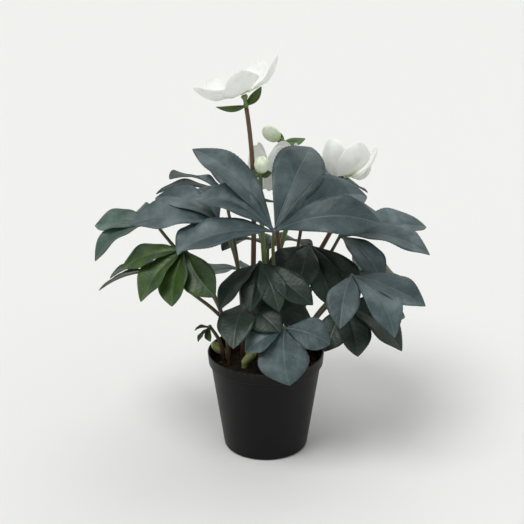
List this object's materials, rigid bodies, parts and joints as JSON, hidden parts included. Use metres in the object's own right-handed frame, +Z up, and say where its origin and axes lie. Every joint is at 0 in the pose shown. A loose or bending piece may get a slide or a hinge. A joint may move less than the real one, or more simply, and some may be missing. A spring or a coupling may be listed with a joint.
{
  "type": "potted hellebore plant",
  "caption": "White-flowered hellebore with leathery hand-shaped leaves, an open bloom on a tall stalk, cupped blooms and closed buds, standing in a round black nursery pot.",
  "frame": {"origin": "centre of the flat underside of the pot", "axes": "+Z up out of the pot, -Y towards the viewer of the plant, +X to that viewer's right"},
  "size_m": [0.3456, 0.274, 0.4074],
  "materials": {
    "pot_plastic": "matt black, moulded",
    "potting_soil": "damp fibrous peat",
    "leaf_mature": "leathery blue-green leaf",
    "leaf_young": "soft fresh green leaf",
    "petiole": "smooth reddish leaf stalk",
    "flower_stalk": "smooth red-brown flower stalk",
    "bract": "fresh green bract and neck",
    "sepal": "thin white sepal",
    "stamen": "yellow stamens",
    "bud": "white-green closed bud",
    "shoot": "pale green shoot"
  },
  "bodies": {
    "root": {"pot": "pot_plastic", "soil": "potting_soil", "leaf_crown_front_blade": "leaf_mature", "leaf_crown_front_petiole": "petiole", "leaf_crown_left_blade": "leaf_mature", "leaf_crown_left_petiole": "petiole", "leaf_left_low_blade": "leaf_young", "leaf_left_low_petiole": "petiole", "leaf_left_far_blade": "leaf_mature", "leaf_left_far_petiole": "petiole", "leaf_left_back_blade": "leaf_young", "leaf_left_back_petiole": "petiole", "leaf_right_top_blade": "leaf_mature", "leaf_right_top_petiole": "petiole", "leaf_back_top_left_blade": "leaf_mature", "leaf_back_top_left_petiole": "petiole", "leaf_back_top_right_blade": "leaf_mature", "leaf_back_top_right_petiole": "petiole", "leaf_inner_front_blade": "leaf_mature", "leaf_inner_front_petiole": "petiole", "leaf_inner_back_blade": "leaf_mature", "leaf_inner_back_petiole": "petiole", "leaf_inner_left_blade": "leaf_mature", "leaf_inner_left_petiole": "petiole", "leaf_inner_right_blade": "leaf_mature", "leaf_inner_right_petiole": "petiole", "leaf_front_small_blade": "leaf_mature", "leaf_front_small_petiole": "petiole", "leaf_right_low_blade": "leaf_mature", "leaf_right_low_petiole": "petiole", "leaf_right_front_blade": "leaf_mature", "leaf_right_front_petiole": "petiole", "leaf_right_back_blade": "leaf_young", "leaf_right_back_petiole": "petiole", "leaf_back_low_blade": "leaf_mature", "leaf_back_low_petiole": "petiole", "leaf_rim_left_blade": "leaf_young", "leaf_rim_left_petiole": "petiole", "bloom_tall_stalk": "flower_stalk", "bloom_tall_bracts": "bract", "bloom_tall_sepals": "sepal", "bloom_tall_stamens": "stamen", "bloom_mid_stalk": "flower_stalk", "bloom_mid_bracts": "bract", "bloom_mid_sepals": "sepal", "bloom_mid_stamens": "stamen", "bloom_right_stalk": "flower_stalk", "bloom_right_bracts": "bract", "bloom_right_sepals": "sepal", "bloom_right_stamens": "stamen", "bud_front_stalk": "bract", "bud_front_head": "bud", "bud_back_stalk": "bract", "bud_back_head": "bud", "shoot_left": "shoot", "shoot_front": "shoot", "shoot_right": "shoot", "shoot_back": "shoot"}
  },
  "joints": []
}
